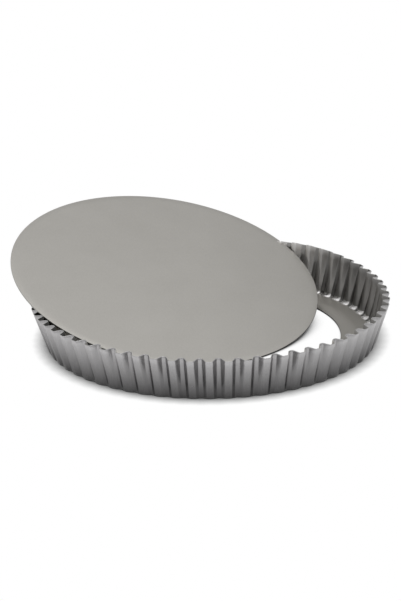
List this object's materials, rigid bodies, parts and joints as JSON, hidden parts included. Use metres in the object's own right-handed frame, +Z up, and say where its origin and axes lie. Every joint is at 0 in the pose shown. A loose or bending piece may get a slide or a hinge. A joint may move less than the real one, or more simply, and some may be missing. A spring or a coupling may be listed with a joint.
{
  "type": "quiche tin",
  "caption": "Round fluted quiche tin with a flared pressed wall, an inward ledge round a wide open bottom, and a flat loose base lifted out and leaning across the rim.",
  "frame": {"origin": "on the table, under the middle of the box of the ring and the leaning base", "axes": "+Z up from the table, +X to the right and -Y towards the viewer as pictured; the ring's axis is vertical"},
  "size_m": [0.2976, 0.3052, 0.0687],
  "materials": {
    "ring_sheet": "satin grey pressed steel sheet with fine drawing streaks up the flutes",
    "base_sheet": "matt warm grey rolled steel sheet with a fine grain"
  },
  "bodies": {
    "ring": {"fluted_ring": "ring_sheet"},
    "base": {"loose_base": "base_sheet"}
  },
  "joints": [
    {"name": "base_lift", "type": "slide", "parent": "ring", "child": "base", "axis": [0, 0, 1], "range_m": [0, 0.08]}
  ]
}
